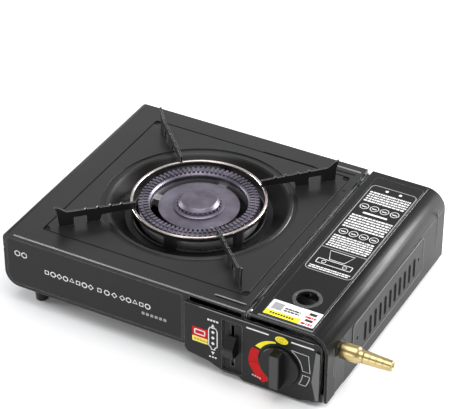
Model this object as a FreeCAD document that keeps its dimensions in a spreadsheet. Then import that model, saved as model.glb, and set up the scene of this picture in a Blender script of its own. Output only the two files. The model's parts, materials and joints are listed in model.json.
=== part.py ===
import FreeCAD, Part
import math
import os
import re
import Sketcher

# Portable gas stove: a pressed steel case with a lift-off pan over a ring burner on the left,
# and a hinged lid over the gas bottle bin on the right.
#
# Stove coordinates: X runs from the left wall to the right, Y from the front face to the back and
# Z up from the table. Every sub-part is then moved so that the middle of the footprint is the origin.

DIMENSIONS = [
    ("body_width", 340, "left wall to the lid's side wall"),
    ("body_depth", 256, "front face to back face"),
    ("top_height", 80, "table to the top plate"),
    ("metal", 1.2, "thickness of the pressed steel"),
    ("seam_gap", 0.1, "gap between nested sheets"),
    ("belly_height", 20.2, "table to the underside of the burner side"),
    ("bin_height", 3, "table to the underside of the bin"),
    ("slope_left", 195, "where the underside starts to drop"),
    ("bulkhead_x", 257, "right edge of the top plate"),
    ("shoulder_radius", 7.5, "rounding of the top left edge"),
    ("belly_radius", 15, "rounding of the lower left edge"),
    ("flange_bottom", 62, "lower edge of the top plate's left flange"),
    ("front_right", 336, "right edge of the floor and its lip"),
    ("wall_right", 333, "right edge of the front and back walls"),
    ("panel_right", 334.5, "right edge of the control panel"),
    ("facet_left", 326, "where the panel's slanted right side starts"),
    ("front_top", 67, "top of the front wall beside the bin"),
    ("front_radius", 15, "rounding of the front wall's top right corner"),
    ("bin_lip", 14, "top of the bin's low side wall"),
    ("burner_x", 139.8, "burner axis from the left wall"),
    ("burner_y", 127.5, "burner axis from the front"),
    ("pan_width", 215, "pan, side to side"),
    ("pan_depth", 212, "pan, front to back"),
    ("pan_gap", 0.7, "gap round the pan"),
    ("ledge_width", 5, "ledge under the pan's edge"),
    ("dish_radius", 94, "outer edge of the dish ring"),
    ("pan_floor", 68, "height of the pan's lowest ring"),
    ("pan_hole", 62.5, "radius of the pan's hole"),
    ("rim_radius", 65.5, "outside of the wind ring's bead"),
    ("rim_height", 86.4, "top of the wind ring's bead"),
    ("bead_radius", 1.4, "bead of the wind ring"),
    ("window_count", 6, "windows in the wind ring"),
    ("window_half", 26.5, "half the width of a window in the wind ring"),
    ("window_turn", -26, "turn of the first window from the front"),
    ("slot_gap", 0.2, "gap between the inlet tab and the lid's slot"),
    ("support_metal", 2, "thickness of a pot support"),
    ("support_inner", 62, "inner end of a pot support, from the burner axis"),
    ("support_outer", 137, "outer edge of a pot support, from the burner axis"),
    ("support_top", 96, "working height of the pot supports"),
    ("support_dip", 94, "height of a pot support over the wind ring"),
    ("support_tip", 103, "height of a pot support's outer hook"),
    ("port_radius", 58, "outside of the flame ring"),
    ("disc_radius", 39, "burner disc"),
    ("cap_radius", 20, "burner cap"),
    ("gas_height", 43, "height of the regulator, the jet and the bottle"),
    ("gas_x", 297.5, "regulator and bottle axis from the left wall"),
    ("jet_y", 41, "jet axis from the front"),
    ("tube_radius", 10, "outside of the mixing tube"),
    ("tube_start", 252, "open end of the mixing tube"),
    ("tube_bend", 30, "bend radius of the mixing tube"),
    ("knob_x", 294.3, "knob axis from the left wall"),
    ("knob_height", 35.5, "knob axis above the table"),
    ("knob_radius", 20, "knob"),
    ("knob_face", 6.5, "knob face in front of the case"),
    ("knob_front", 16, "front of the knob's grip, in front of the case"),
    ("grip_width", 10.5, "knob grip"),
    ("stem_radius", 3, "valve stem"),
    ("fit_gap", 0.05, "running clearance of pins and stems"),
    ("panel_metal", 3, "control panel, in front of the case"),
    ("panel_left", 196.5, "left edge of the control panel"),
    ("panel_top", 71.5, "top edge of the control panel"),
    ("channel_left", 235.6, "lever channel, left side"),
    ("channel_right", 255.8, "lever channel, right side"),
    ("channel_low", 7.5, "lever channel, lower end"),
    ("channel_high", 65.5, "lever channel, upper end"),
    ("slit_left", 243.7, "lever slit, left side"),
    ("slit_width", 3.6, "lever slit"),
    ("slit_low", 13.5, "lever slit, lower end"),
    ("slit_high", 61, "lever slit, upper end"),
    ("lever_low", 29, "underside of the lever grip when locked"),
    ("lever_front", 12, "ridge of the lever grip, in front of the case"),
    ("lid_left", 262.4, "left edge of the lid"),
    ("lid_bottom", 6.1, "lower edge of the lid's side wall"),
    ("lid_radius", 20, "rounding of the lid's top right edge"),
    ("lid_rim", 3, "width of the lid's front and rear rims"),
    ("lid_raise", 0.5, "height of the lid's pressed fields"),
    ("hinge_x", 260.4, "lid hinge axis from the left wall"),
    ("hinge_height", 78, "lid hinge axis above the table"),
    ("hinge_radius", 1, "lid hinge rod"),
    ("knuckle_radius", 1.9, "lid hinge knuckles"),
    ("finger_x", 298, "finger hole from the left wall"),
    ("finger_y", 42, "finger hole from the front"),
    ("finger_radius", 10.3, "finger hole"),
    ("hose_y", 25, "hose inlet axis from the front"),
    ("hose_height", 51.5, "hose inlet axis above the table"),
    ("hose_tip", 391, "tip of the hose barb from the left wall"),
    ("collar_radius", 8, "collar of the hose barb"),
    ("hose_bore", 2.4, "gas bore of the hose barb"),
    ("bottle_radius", 33.5, "gas bottle that the bin takes"),
    ("foot_radius", 6, "rubber foot at the table"),
]

doc = FreeCAD.newDocument("camping_stove")
table = doc.addObject("Spreadsheet::Sheet", "Dims")
for row, (alias, amount, meaning) in enumerate(DIMENSIONS, 1):
    table.set("A%d" % row, meaning)
    table.set("B%d" % row, str(amount))
    table.setAlias("B%d" % row, alias)
doc.recompute()

ALIASES = {alias for alias, amount, meaning in DIMENSIONS}
WORD = re.compile(r"[a-z][a-z_]*")
MIDDLE_X = "hose_tip / 2"
MIDDLE_Y = "(body_depth - knob_front) / 2"
TURN_TO_Y = FreeCAD.Rotation(FreeCAD.Vector(1, 0, 0), -90)
TURN_TO_X = FreeCAD.Rotation(FreeCAD.Vector(0, 1, 0), 90)
SUBPARTS = []


def bound(text):
    """The expression text with every dimension's name pointing at its cell."""
    return WORD.sub(lambda m: "Dims." + m.group() if m.group() in ALIASES else m.group(), str(text))


def value(text):
    return float(table.evalExpression(bound(text)))


def bind(item, **sizes):
    for name, text in sizes.items():
        item.setExpression(name, bound(text))


def place(item, x="0", y="0", z="0"):
    """Puts an object's own origin at a point of the stove."""
    item.setExpression("Placement.Base.x", bound("(%s) - %s" % (x, MIDDLE_X)))
    item.setExpression("Placement.Base.y", bound("(%s) - %s" % (y, MIDDLE_Y)))
    item.setExpression("Placement.Base.z", bound(z))


def name_part(item, label):
    item.Label = label
    SUBPARTS.append(item)
    return item


# ---- Solids made from primitives -------------------------------------------------------------

def box(name, x, y, z, length, width, height):
    item = doc.addObject("Part::Box", name)
    bind(item, Length=length, Width=width, Height=height)
    place(item, x, y, z)
    return item


def cylinder(name, rotation, x, y, z, radius, height):
    item = doc.addObject("Part::Cylinder", name)
    item.Placement = FreeCAD.Placement(FreeCAD.Vector(0, 0, 0), rotation)
    bind(item, Radius=radius, Height=height)
    place(item, x, y, z)
    return item


def upright(name, x, y, z, radius, height):
    return cylinder(name, FreeCAD.Rotation(), x, y, z, radius, height)


def along_x(name, x, y, z, radius, height):
    return cylinder(name, TURN_TO_X, x, y, z, radius, height)


def along_y(name, x, y, z, radius, height):
    return cylinder(name, TURN_TO_Y, x, y, z, radius, height)


def join(name, items):
    item = doc.addObject("Part::MultiFuse", name)
    item.Shapes = items
    return item


def cut(name, base, tool):
    item = doc.addObject("Part::Cut", name)
    item.Base = base
    item.Tool = tool
    return item


# ---- Solids made from sketches ---------------------------------------------------------------

def body(label, x="0", y="0", z="0", turn=0):
    item = doc.addObject("PartDesign::Body", label)
    item.Placement = FreeCAD.Placement(
        FreeCAD.Vector(0, 0, 0), FreeCAD.Rotation(FreeCAD.Vector(0, 0, 1), turn))
    place(item, x, y, z)
    return name_part(item, label)


def sketch(owner, name, plane, level="0"):
    """A sketch on one of the body's origin planes, moved along that plane's axis to a level."""
    item = owner.newObject("Sketcher::SketchObject", name)
    role = plane + "_Plane"
    item.AttachmentSupport = ([f for f in owner.Origin.OriginFeatures if f.Role == role][0], [""])
    item.MapMode = "FlatFace"
    sign = "-" if plane == "XZ" else ""
    item.setExpression("AttachmentOffset.Base.z", bound("%s(%s)" % (sign, level)))
    return item


def pin_point(item, geometry, corner, x, y):
    """Holds one point of a sketch at the given distances from the sketch's origin."""
    for kind, text in (("DistanceX", x), ("DistanceY", y)):
        number = item.addConstraint(
            Sketcher.Constraint(kind, -1, 1, geometry, corner, value(text)))
        item.setExpression("Constraints[%d]" % number, bound(text))


def outline(item, corners):
    """A closed outline. A corner is (x, y), or (x, y, radius) where it is rounded."""
    count = len(corners)
    spots = [FreeCAD.Vector(value(c[0]), value(c[1]), 0) for c in corners]
    rounds = [value(c[2]) if len(c) == 3 else 0 for c in corners]
    starts, ends = [], []
    for n in range(count):
        back = (spots[n - 1] - spots[n]).normalize()
        ahead = (spots[(n + 1) % count] - spots[n]).normalize()
        reach = rounds[n] / math.tan(back.getAngle(ahead) / 2) if rounds[n] else 0
        ends.append(spots[n] + back * reach)
        starts.append(spots[n] + ahead * reach)
    first = item.GeometryCount
    for n in range(count):
        item.addGeometry(Part.LineSegment(starts[n], ends[(n + 1) % count]), False)
    for n in range(count):
        before, after = first + (n - 1) % count, first + n
        if not rounds[n]:
            item.addConstraint(Sketcher.Constraint("Coincident", before, 2, after, 1))
            pin_point(item, after, 1, corners[n][0], corners[n][1])
            continue
        round_corner(item, spots[n], ends[n], starts[n], rounds[n], before, after, corners[n])


def add_arc(item, centre, radius, arc_start, arc_end):
    """The short arc between two points, and the numbers of its ends at the first and second one."""
    first = (arc_start - centre).getAngle(FreeCAD.Vector(1, 0, 0))
    if arc_start.y < centre.y:
        first = -first
    sweep = (arc_start - centre).getAngle(arc_end - centre)
    forward = (arc_start - centre).cross(arc_end - centre).z > 0
    low = first if forward else first - sweep
    ring = Part.Circle(centre, FreeCAD.Vector(0, 0, 1), radius)
    arc = item.addGeometry(Part.ArcOfCircle(ring, low, low + sweep), False)
    return (arc, 1, 2) if forward else (arc, 2, 1)


def round_corner(item, spot, arc_start, arc_end, radius, before, after, corner):
    """An arc between two lines, tangent to both, with the sharp corner kept as a held point."""
    inward = ((arc_start - spot) + (arc_end - spot)).normalize()
    half = (arc_start - spot).getAngle(arc_end - spot) / 2
    centre = spot + inward * (radius / math.sin(half))
    arc, near, far = add_arc(item, centre, radius, arc_start, arc_end)
    point = item.addGeometry(Part.Point(spot), True)
    item.addConstraint(Sketcher.Constraint("Tangent", before, 2, arc, near))
    item.addConstraint(Sketcher.Constraint("Tangent", after, 1, arc, far))
    item.addConstraint(Sketcher.Constraint("PointOnObject", point, 1, before))
    item.addConstraint(Sketcher.Constraint("PointOnObject", point, 1, after))
    pin_point(item, point, 1, corner[0], corner[1])
    number = item.addConstraint(Sketcher.Constraint("Radius", arc, radius))
    item.setExpression("Constraints[%d]" % number, bound(corner[2]))


def rectangle(item, left, low, right, high, radius=None):
    corners = [(left, low), (right, low), (right, high), (left, high)]
    outline(item, [c + (radius,) for c in corners] if radius else corners)


def circle(item, x, y, radius):
    centre = FreeCAD.Vector(value(x), value(y), 0)
    ring = item.addGeometry(Part.Circle(centre, FreeCAD.Vector(0, 0, 1), value(radius)), False)
    pin_point(item, ring, 3, x, y)
    number = item.addConstraint(Sketcher.Constraint("Radius", ring, value(radius)))
    item.setExpression("Constraints[%d]" % number, bound(radius))


def pad(owner, profile, length):
    """Adds material from the sketch towards +X, +Y or +Z."""
    item = owner.newObject("PartDesign::Pad", "Pad_" + profile.Name)
    item.Profile = profile
    item.Reversed = "XZ_Plane" in profile.AttachmentSupport[0][0].Role
    bind(item, Length=length)
    doc.recompute()
    return item


def pocket(owner, profile, length):
    """Removes material from the sketch towards +X, +Y or +Z, and makes sure that some went."""
    before = owner.Shape.Volume
    item = owner.newObject("PartDesign::Pocket", "Pocket_" + profile.Name)
    item.Profile = profile
    item.Reversed = "XZ_Plane" not in profile.AttachmentSupport[0][0].Role
    bind(item, Length=length)
    doc.recompute()
    if owner.Shape.Volume >= before - 0.01:
        raise RuntimeError("pocket %s removes nothing" % profile.Name)
    return item


def row_of(owner, feature, axis, length, count):
    """Repeats a feature in a straight row along one of the body's axes."""
    item = owner.newObject("PartDesign::LinearPattern", feature.Name + "_row")
    item.Originals = [feature]
    item.Direction = ([f for f in owner.Origin.OriginFeatures if f.Role == axis + "_Axis"][0], [""])
    item.Occurrences = count
    bind(item, Length=length)
    owner.Tip = item
    doc.recompute()
    return item


def revolve(owner, profile, axis="V_Axis"):
    item = owner.newObject("PartDesign::Revolution", "Turn_" + profile.Name)
    item.Profile = profile
    item.ReferenceAxis = (profile, [axis])
    item.Angle = 360
    doc.recompute()
    return item


# ---- Case ------------------------------------------------------------------------------------

def make_base_shell():
    """Lower case: floor, low bin wall, left wall and the front and back walls."""
    item = body("base_shell")
    outer = sketch(item, "shell_outer", "XZ")
    tuck = "metal + seam_gap"
    outline(outer, [
        (tuck, "top_height - metal - seam_gap", "shoulder_radius - metal - seam_gap"),
        ("bulkhead_x", "top_height - metal - seam_gap"),
        ("bulkhead_x", "front_top"),
        ("front_right", "front_top", "front_radius"),
        ("front_right", "lid_bottom"),
        ("front_right - 11", "bin_height"),
        ("bulkhead_x", "bin_height"),
        ("slope_left", "belly_height"),
        ("0", "belly_height", "belly_radius"),
        ("0", "flange_bottom - metal - seam_gap * 2"),
        (tuck, "flange_bottom - seam_gap"),
    ])
    pad(item, outer, "body_depth")
    inner = sketch(item, "shell_inner", "XZ", "metal")
    outline(inner, [
        ("metal + metal + seam_gap", "top_height + 10"),
        ("metal + metal + seam_gap", "flange_bottom - metal / 2"),
        ("metal", "flange_bottom - metal * 1.5 - seam_gap * 2"),
        ("metal", "belly_height + metal", "belly_radius - metal"),
        ("slope_left + metal / 4", "belly_height + metal"),
        ("bulkhead_x + metal / 4", "bin_height + metal"),
        ("front_right - 11", "bin_height + metal"),
        ("front_right - metal", "lid_bottom + metal / 2"),
        ("front_right - metal", "bin_lip"),
        ("front_right + 10", "bin_lip"),
        ("front_right + 10", "top_height + 10"),
    ])
    pocket(item, inner, "body_depth - 2 * metal")
    front_cuts = sketch(item, "front_cuts", "XZ", "-1")
    rectangle(front_cuts, "slit_left - 1", "slit_low", "slit_left + slit_width + 1", "slit_high")
    circle(front_cuts, "knob_x", "knob_height", "stem_radius + 2")
    rectangle(front_cuts, "panel_left + 4", "panel_top - 1", "bulkhead_x - 3", "panel_top + 5.5")
    pocket(item, front_cuts, "metal + 2")
    edge_cuts = sketch(item, "edge_cuts", "XZ", "-1")
    rectangle(edge_cuts, "wall_right", "bin_lip", "front_right + 5", "top_height")
    pocket(item, edge_cuts, "body_depth + 2")
    groove = sketch(item, "front_groove", "XZ")
    groove_edge(groove, "3", "shoulder_radius - 3", "belly_radius - 3")
    groove_edge(groove, "4.2", "shoulder_radius - 4.2", "belly_radius - 4.2")
    pocket(item, groove, "metal * 0.4")
    back_vent = sketch(item, "back_vent", "XZ", "body_depth - metal - 1")
    rectangle(back_vent, "50", "36", "53", "58", "1.4")
    row_of(item, pocket(item, back_vent, "metal + 2"), "X", "132", 12)
    left_vent = sketch(item, "left_vent", "YZ", "-1")
    rectangle(left_vent, "80", "38", "83", "54", "1.4")
    row_of(item, pocket(item, left_vent, "metal + 2"), "Y", "96", 9)
    screw_holes = sketch(item, "screw_holes", "XY", "belly_height - 1")
    for x, y in SCREWS:
        circle(screw_holes, x, y, "1.7")
    pocket(item, screw_holes, "metal + 2")


def groove_edge(item, inset, top_radius, low_radius):
    """One edge of the pressed line that runs round the front face, beside the panel."""
    outline(item, [
        (inset, "top_height - metal - " + inset, top_radius),
        ("panel_left - " + inset, "top_height - metal - " + inset),
        ("panel_left - " + inset, "belly_height + " + inset),
        (inset, "belly_height + " + inset, low_radius),
    ])


def make_top_plate():
    """Top sheet with a rounded left edge, a ledge for the pan and a flange by the lid."""
    item = body("top_plate")
    sheet = sketch(item, "top_sheet", "XZ")
    outline(sheet, [
        ("0", "flange_bottom"),
        ("0", "top_height", "shoulder_radius"),
        ("bulkhead_x", "top_height"),
        ("bulkhead_x", "top_height - metal"),
        ("metal", "top_height - metal", "shoulder_radius - metal"),
        ("metal", "flange_bottom"),
    ])
    pad(item, sheet, "body_depth")
    flange = sketch(item, "right_flange", "XZ", "metal + 0.2")
    rectangle(flange, "bulkhead_x - metal", "top_height - 8", "bulkhead_x", "top_height - metal")
    pad(item, flange, "body_depth - 2 * metal - 0.4")
    opening = sketch(item, "pan_opening", "XY", "top_height - 5")
    pan_frame(opening, "pan_gap")
    pocket(item, opening, "10")
    ledge = sketch(item, "pan_ledge", "XY", "top_height - 2 * metal")
    pan_frame(ledge, "pan_gap + metal")
    pan_frame(ledge, "-ledge_width")
    pad(item, ledge, "metal")
    bars = sketch(item, "pressed_bars", "XY", "top_height")
    rectangle(bars, "222", "7.5", "253.5", "10.5", "1.4")
    rectangle(bars, "229", "240.5", "250", "243.5", "1.4")
    rectangle(bars, "153", "234.8", "210", "236", "0.5")
    circle(bars, "252", "213", "1.6")
    pad(item, bars, "0.6")


def pan_frame(item, margin):
    """A rectangle round the pan, with the given margin."""
    rectangle(item, "burner_x - pan_width / 2 - (%s)" % margin,
              "burner_y - pan_depth / 2 - (%s)" % margin,
              "burner_x + pan_width / 2 + (%s)" % margin,
              "burner_y + pan_depth / 2 + (%s)" % margin)


def make_control_panel():
    """Panel on the front face, with the lever channel and the valve stem's hole."""
    item = body("control_panel")
    face = sketch(item, "panel_face", "XZ", "-panel_metal")
    outline(face, [
        ("panel_left", "belly_height"),
        ("panel_left", "panel_top", "2"),
        ("panel_right", "panel_top", "7"),
        ("panel_right - 2.5", "bin_height + 5"),
        ("panel_right - 21.5", "bin_height - 0.5"),
        ("bulkhead_x + 0.6", "bin_height - 0.5"),
        ("bulkhead_x - 4.5", "bin_height + 2.5"),
        ("bulkhead_x - 20", "bin_height + 2.5"),
        ("bulkhead_x - 36", "bin_height + 9"),
        ("panel_left + 3.5", "belly_height - 4.7"),
    ])
    pad(item, face, "panel_metal")
    channel = sketch(item, "lever_channel", "XZ", "-panel_metal - 1")
    rectangle(channel, "channel_left", "channel_low", "channel_right", "channel_high", "1.5")
    pocket(item, channel, "panel_metal")
    slit = sketch(item, "lever_slit", "XZ", "-panel_metal - 1")
    rectangle(slit, "slit_left", "slit_low", "slit_left + slit_width", "slit_high")
    circle(slit, "knob_x", "knob_height", "stem_radius + 1")
    pocket(item, slit, "panel_metal + 2")
    bars = sketch(item, "panel_bars", "XZ", "-panel_metal - 0.5")
    rectangle(bars, "260", "65.2", "283", "66.8", "0.7")
    rectangle(bars, "305", "65.2", "328", "66.8", "0.7")
    pad(item, bars, "0.5")
    facet = sketch(item, "panel_facet", "XY")
    outline(facet, [("facet_left", "-panel_metal - 1"), ("panel_right + 1", "-panel_metal - 1"),
                    ("panel_right + 1", "-0.5"), ("panel_right", "-0.5"), ("facet_left", "-panel_metal")])
    pocket(item, facet, "panel_top + 5")


def make_bulkhead():
    """Upright sheet between the hot side and the bin. Its two ears carry the hinge rod."""
    item = body("heat_bulkhead")
    sheet = sketch(item, "bulkhead_sheet", "YZ", "bulkhead_x + 0.2")
    rectangle(sheet, "metal + 0.1", "bin_height + metal + 0.2", "body_depth - metal - 0.1",
              "hinge_height - 1")
    pad(item, sheet, "1")
    holes = sketch(item, "bulkhead_holes", "YZ", "bulkhead_x - 1")
    circle(holes, "jet_y", "gas_height", "8")
    rectangle(holes, "55", "34", "70", "52")
    pocket(item, holes, "4")
    for n, y in enumerate(("4", "body_depth - 7")):
        leg = sketch(item, "ear_leg%d" % n, "XZ", y)
        rectangle(leg, "bulkhead_x + 0.2", "hinge_height - 8", "hinge_x", "hinge_height")
        pad(item, leg, "3")
        ear = sketch(item, "ear%d" % n, "XZ", y)
        circle(ear, "hinge_x", "hinge_height", "knuckle_radius")
        pad(item, ear, "3")
    bore = sketch(item, "ear_bore", "XZ", "2")
    circle(bore, "hinge_x", "hinge_height", "hinge_radius + fit_gap")
    pocket(item, bore, "body_depth - 4")


def make_control_bracket():
    """Upright plate inside the front wall, which holds the valve."""
    item = body("control_bracket")
    plate = sketch(item, "bracket_plate", "XZ", "6")
    rectangle(plate, "bulkhead_x + 4", "bin_height + 3", "front_right - 4", "66", "3")
    circle(plate, "knob_x", "knob_height", "9.2")
    pad(item, plate, "metal")


def make_case_small_parts():
    """Slide guides, hinge rod, rear stop and the screws under the floor."""
    sides = [
        box("guide_left", "237.6 - 1.2", "metal", "12", "metal", "4.8", "58"),
        box("guide_right", "254.4", "metal", "12", "metal", "4.8", "58"),
        box("guide_tie", "237.6 - 1.2", "4.8", "70", "19.2", "metal", "2"),
    ]
    name_part(join("guides", sides), "lever_guides")
    name_part(along_y("rod", "hinge_x", "3.5", "hinge_height", "hinge_radius", "body_depth - 7"),
              "hinge_rod")
    name_part(box("stop", "gas_x - 13", "body_depth - metal - 4.8", "gas_height - 13", "26", "4.8", "26"),
              "bottle_stop")
    screws = []
    for n, (x, y) in enumerate(SCREWS):
        head = upright("screw_head%d" % n, x, y, "belly_height - 1.4", "3", "1.4")
        shank = upright("screw_shank%d" % n, x, y, "belly_height - 1.4", "1.5", "6")
        screws.append(join("screw%d" % n, [head, shank]))
    group = doc.addObject("Part::Compound", "screws")
    group.Links = screws
    name_part(group, "case_screws")


def make_foot(label, x, y, height):
    """Rubber foot, wider where it meets the case."""
    item = body(label, x, y)
    half = sketch(item, label + "_half", "XZ")
    outline(half, [
        ("0", "0"),
        ("foot_radius", "0"),
        ("foot_radius + 1", height),
        ("0", height),
    ])
    revolve(item, half)


# ---- Pan and pot supports --------------------------------------------------------------------

def make_drip_pan():
    """Lift-off pan: a square plate with a ring groove and a sloped dish round the burner."""
    item = body("drip_pan", "burner_x", "burner_y")
    plate = sketch(item, "pan_plate", "XY", "top_height - metal")
    rectangle(plate, "-pan_width / 2", "-pan_depth / 2", "pan_width / 2", "pan_depth / 2")
    circle(plate, "0", "0", "dish_radius")
    pad(item, plate, "metal")
    dish = sketch(item, "dish_half", "XZ")
    outline(dish, [
        ("dish_radius + 1", "top_height"),
        ("dish_radius", "top_height - 1"),
        ("dish_radius - 4", "top_height - 1"),
        ("dish_radius - 5", "top_height"),
        ("dish_radius - 7.5", "top_height"),
        ("pan_hole + 8.5", "pan_floor"),
        ("pan_hole", "pan_floor"),
        ("pan_hole", "pan_floor - metal"),
        ("pan_hole + 9", "pan_floor - metal"),
        ("dish_radius - 7", "top_height - metal"),
        ("dish_radius - 5.4", "top_height - metal"),
        ("dish_radius - 4.4", "top_height - metal - 1"),
        ("dish_radius + 0.4", "top_height - metal - 1"),
        ("dish_radius + 1", "top_height - metal"),
    ])
    revolve(item, dish)
    notches = sketch(item, "corner_notches", "XY", "top_height - 5")
    for side in ("-", ""):
        for end in ("-", ""):
            circle(notches, side + "(pan_width / 2 - 1)", end + "(pan_depth / 2 - 1)", "5")
    pocket(item, notches, "10")


def make_wind_ring():
    """Ring that stands in the dish: a windowed skirt with a rolled bead on top."""
    item = body("wind_ring", "burner_x", "burner_y", "0", value("window_turn"))
    middle = "rim_radius - bead_radius"
    skirt = sketch(item, "ring_skirt", "XZ")
    rectangle(skirt, middle + " - 0.6", "pan_floor", middle + " + 0.6", "rim_height - bead_radius")
    revolve(item, skirt)
    bead = sketch(item, "ring_bead", "XZ")
    circle(bead, middle, "rim_height - bead_radius", "bead_radius")
    revolve(item, bead)
    window = sketch(item, "ring_window", "XZ", "-rim_radius - 2")
    rectangle(window, "-window_half", "pan_floor + 1.5", "window_half", "rim_height - 5.5", "1.5")
    first = pocket(item, window, "13")
    pattern = item.newObject("PartDesign::PolarPattern", "window_pattern")
    pattern.Originals = [first]
    pattern.Axis = ([f for f in item.Origin.OriginFeatures if f.Role == "Z_Axis"][0], [""])
    pattern.Angle = 360
    bind(pattern, Occurrences="window_count")
    item.Tip = pattern
    doc.recompute()


def make_pot_support(label, turn):
    """Upright plate on the pan's diagonal: two feet, a toothed top edge and an outer hook."""
    item = body(label, "burner_x", "burner_y", "0", turn)
    side = sketch(item, label + "_side", "XZ", "-support_metal / 2")
    teeth = []
    for reach in (76, 86.5, 98.5, 110):
        level = "support_dip + (support_top - support_dip) * %s" % round((reach - 62) / 75, 3)
        teeth += [("%s - 1.6" % reach, level), (str(reach), level + " + 1.8"), ("%s + 1.6" % reach, level)]
    outline(side, [
        ("support_inner", "rim_height + 0.1"),
        ("support_inner", "support_dip"),
    ] + teeth + [
        ("support_outer - 8", "support_top"),
        ("support_outer - 1", "support_tip - 1.5"),
        ("support_outer + 3.5", "support_tip"),
        ("support_outer + 1", "support_top - 2"),
        ("support_outer", "top_height"),
        ("support_outer - 15", "top_height"),
        ("support_outer - 15", "top_height + 8.5"),
        ("support_outer - 27", "top_height + 8.5"),
        ("support_outer - 27", "top_height"),
        ("support_outer - 40", "top_height"),
        ("support_outer - 42", "rim_height + 0.1"),
    ])
    pad(item, side, "support_metal")


# ---- Burner and gas path ---------------------------------------------------------------------

def make_burner():
    """Casting with a hub, four arms and a ring, and the plates that lie on it."""
    item = body("burner_body", "burner_x", "burner_y")
    hub = sketch(item, "burner_hub", "XZ")
    outline(hub, [("0", "30"), ("18", "30"), ("22", "36"), ("22", "74"), ("0", "74")])
    revolve(item, hub)
    rim = sketch(item, "burner_rim", "XZ")
    rectangle(rim, "port_radius - 10", "66", "port_radius", "76")
    revolve(item, rim)
    for n, (x, y) in enumerate((("port_radius - 4", "4.5"), ("4.5", "port_radius - 4"))):
        arm = sketch(item, "burner_arm%d" % n, "XY", "64")
        rectangle(arm, "-(%s)" % x, "-(%s)" % y, x, y)
        pad(item, arm, "8")
    inlet = sketch(item, "burner_inlet", "XZ", "-34")
    circle(inlet, "0", "gas_height", "tube_radius + 3")
    pad(item, inlet, "30")
    socket = sketch(item, "burner_socket", "XZ", "-35")
    circle(socket, "0", "gas_height", "tube_radius + 0.1")
    pocket(item, socket, "20")

    ring = body("burner_ring", "burner_x", "burner_y")
    ring_half = sketch(ring, "ring_half", "XZ")
    outline(ring_half, [
        ("port_radius - 11", "76"),
        ("port_radius + 0.5", "76"),
        ("port_radius + 0.5", "80"),
        ("port_radius - 2", "82.5"),
        ("port_radius - 8", "82.5"),
        ("port_radius - 11", "80"),
    ])
    revolve(ring, ring_half)

    disc = body("burner_disc", "burner_x", "burner_y")
    disc_half = sketch(disc, "disc_half", "XZ")
    outline(disc_half, [("0", "74"), ("disc_radius - 1.5", "74"), ("disc_radius", "75.5"),
                        ("disc_radius", "77"), ("0", "77")])
    revolve(disc, disc_half)

    cap = body("burner_cap", "burner_x", "burner_y")
    cap_half = sketch(cap, "cap_half", "XZ")
    outline(cap_half, [("0", "77"), ("cap_radius", "77"), ("cap_radius", "82"),
                       ("cap_radius - 3", "85"), ("0", "86")])
    revolve(cap, cap_half)


def make_electrode():
    """Spark electrode on a clip from the hub, between two burner arms."""
    clip = body("electrode_clip", "burner_x", "burner_y", "0", -45)
    plate = sketch(clip, "clip_plate", "XY", "55")
    rectangle(plate, "22.2", "-4", "48", "4", "3.5")
    circle(plate, "43.5", "0", "2.6")
    pad(clip, plate, "metal")
    rod = body("electrode", "burner_x", "burner_y", "0", -45)
    rod_round = sketch(rod, "rod_round", "XY", "42")
    circle(rod_round, "43.5", "0", "2.5")
    pad(rod, rod_round, "34")
    tip = body("electrode_tip", "burner_x", "burner_y", "0", -45)
    tip_round = sketch(tip, "tip_round", "XY", "76")
    circle(tip_round, "43.5", "0", "0.8")
    pad(tip, tip_round, "5")


def make_mixing_tube():
    """Tube that brings gas and air from the jet to the burner, with one bend."""
    item = body("mixing_tube")
    path = sketch(item, "tube_path", "XY", "gas_height")
    left, near = value("burner_x"), value("jet_y")
    bend, far = value("tube_bend"), value("burner_y - 22")
    centre = FreeCAD.Vector(left + bend, near + bend, 0)
    run_in = path.addGeometry(Part.LineSegment(
        FreeCAD.Vector(value("tube_start"), near, 0), FreeCAD.Vector(left + bend, near, 0)), False)
    arc, arc_near, arc_far = add_arc(path, centre, bend, FreeCAD.Vector(left + bend, near, 0),
                                     FreeCAD.Vector(left, near + bend, 0))
    run_out = path.addGeometry(Part.LineSegment(
        FreeCAD.Vector(left, near + bend, 0), FreeCAD.Vector(left, far, 0)), False)
    path.addConstraint(Sketcher.Constraint("Tangent", run_in, 2, arc, arc_near))
    path.addConstraint(Sketcher.Constraint("Tangent", run_out, 1, arc, arc_far))
    path.addConstraint(Sketcher.Constraint("Horizontal", run_in))
    path.addConstraint(Sketcher.Constraint("Vertical", run_out))
    pin_point(path, run_in, 1, "tube_start", "jet_y")
    pin_point(path, run_out, 2, "burner_x", "burner_y - 22")
    number = path.addConstraint(Sketcher.Constraint("Radius", arc, bend))
    path.setExpression("Constraints[%d]" % number, bound("tube_bend"))
    section = sketch(item, "tube_section", "YZ", "tube_start")
    circle(section, "jet_y", "gas_height", "tube_radius")
    circle(section, "jet_y", "gas_height", "tube_radius - metal")
    doc.recompute()
    pipe = item.newObject("PartDesign::AdditivePipe", "tube_pipe")
    pipe.Profile = section
    pipe.Spine = (path, ["Edge1", "Edge2", "Edge3"])
    doc.recompute()


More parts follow.
